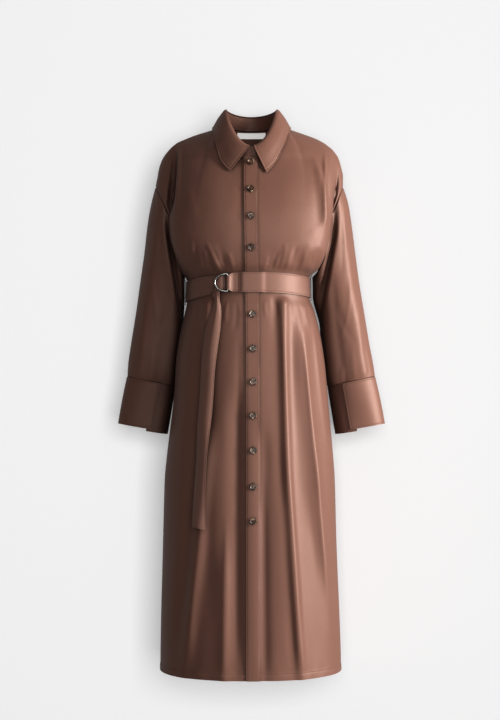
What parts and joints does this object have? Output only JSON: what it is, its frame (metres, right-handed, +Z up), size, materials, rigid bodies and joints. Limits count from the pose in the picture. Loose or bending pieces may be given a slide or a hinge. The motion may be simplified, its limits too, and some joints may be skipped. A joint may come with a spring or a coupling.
{
  "type": "belted shirt dress",
  "caption": "Long-sleeved midi shirt dress in brown satin with a turn-down collar, button band, wide cuffs and a ring belt, filled out as worn and hollow inside.",
  "frame": {"origin": "middle of the neck, level with the high points of the shoulders, where the wearer holds the dress up", "axes": "+Z up towards the collar; the front faces -Y; the dress's own left side is +X"},
  "size_m": [0.6076, 0.2959, 1.2544],
  "materials": {
    "dress_satin": "satin weave with a soft sheen",
    "band_satin": "satin weave, pressed and edge-stitched",
    "belt_satin": "satin weave, doubled and edge-stitched",
    "button_horn": "mottled brown and cream, polished",
    "ring_metal": "polished",
    "label_satin": "smooth white satin, blank"
  },
  "bodies": {
    "root": {"front_left": "dress_satin", "front_right": "dress_satin", "back": "dress_satin", "sleeve_left": "dress_satin", "sleeve_right": "dress_satin", "cuff_left": "dress_satin", "cuff_right": "dress_satin", "collar_stand": "dress_satin", "collar": "dress_satin", "belt_loop_left": "dress_satin", "belt_loop_right": "dress_satin", "button_band": "band_satin", "belt": "belt_satin", "belt_ring_fold": "belt_satin", "belt_tail": "belt_satin", "button_1": "button_horn", "button_2": "button_horn", "button_3": "button_horn", "button_4": "button_horn", "button_5": "button_horn", "button_6": "button_horn", "button_7": "button_horn", "button_8": "button_horn", "button_9": "button_horn", "button_10": "button_horn", "button_11": "button_horn", "ring_outer": "ring_metal", "ring_inner": "ring_metal", "neck_label": "label_satin"}
  },
  "joints": []
}
